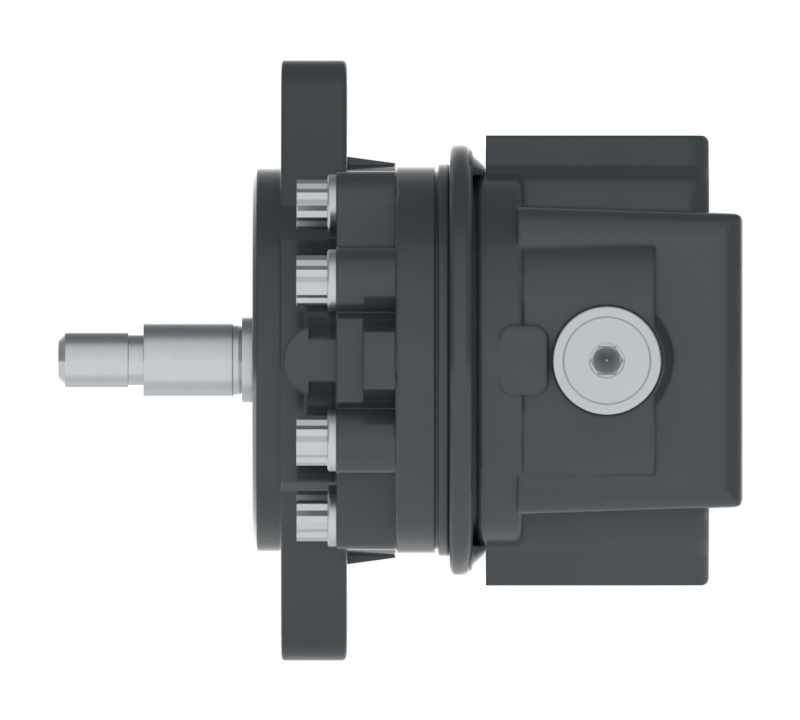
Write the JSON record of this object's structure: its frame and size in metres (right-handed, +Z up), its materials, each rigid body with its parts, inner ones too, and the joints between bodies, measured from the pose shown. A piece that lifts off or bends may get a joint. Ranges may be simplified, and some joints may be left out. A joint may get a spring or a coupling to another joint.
{
  "type": "hydraulic gear motor",
  "caption": "External gear motor for oil, with a cast front cover, pilot and lug flange, a gear body with ports above and below, a side plug and a straight shaft with a threaded end.",
  "frame": {"origin": "on the shaft axis in the plane of the mounting face, between the two lug holes", "axes": "+X along the shaft towards the rear of the motor (the shaft end points to -X), +Z up through the upper port, -Y towards the driven gear and the side plug"},
  "size_m": [0.1463, 0.1562, 0.1288],
  "materials": {
    "cover_casting": "painted casting, satin",
    "body_casting": "painted casting, satin",
    "shaft_steel": "ground satin",
    "gear_steel": "ground teeth, lightly oiled",
    "bolt_steel": "zinc plated",
    "plug_steel": "zinc plated, turned",
    "block_aluminium": "machined",
    "bush_bronze": "machined bronze",
    "seal_rubber": "matt",
    "backup_plastic": "matt",
    "spring_steel": "dark oiled"
  },
  "bodies": {
    "root": {"front_cover": "cover_casting", "body": "body_casting", "front_bearing_block": "block_aluminium", "rear_bearing_block": "block_aluminium", "front_drive_bush": "bush_bronze", "front_driven_bush": "bush_bronze", "rear_drive_bush": "bush_bronze", "rear_driven_bush": "bush_bronze", "front_block_seal": "seal_rubber", "rear_block_seal": "seal_rubber", "front_block_backup": "backup_plastic", "rear_block_backup": "backup_plastic", "joint_seal": "seal_rubber", "shaft_seal": "seal_rubber", "shaft_seal_spring": "spring_steel", "seal_washer": "plug_steel", "seal_retaining_ring": "spring_steel", "cover_bolts": "bolt_steel", "dowel_pins": "gear_steel", "side_plug": "plug_steel", "side_plug_seal": "seal_rubber"},
    "drive": {"drive_gear": "shaft_steel"},
    "driven": {"driven_gear": "gear_steel"}
  },
  "joints": [
    {"name": "drive_spin", "type": "hinge", "parent": "root", "child": "drive", "pos_m": [0, 0, 0], "axis": [-1, 0, 0], "continuous": true},
    {"name": "driven_spin", "type": "hinge", "parent": "root", "child": "driven", "pos_m": [0, -0.036, 0], "axis": [-1, 0, 0], "continuous": true}
  ],
  "couplings": [
    {"joint": "driven_spin", "follows": "drive_spin", "ratio": -1}
  ]
}
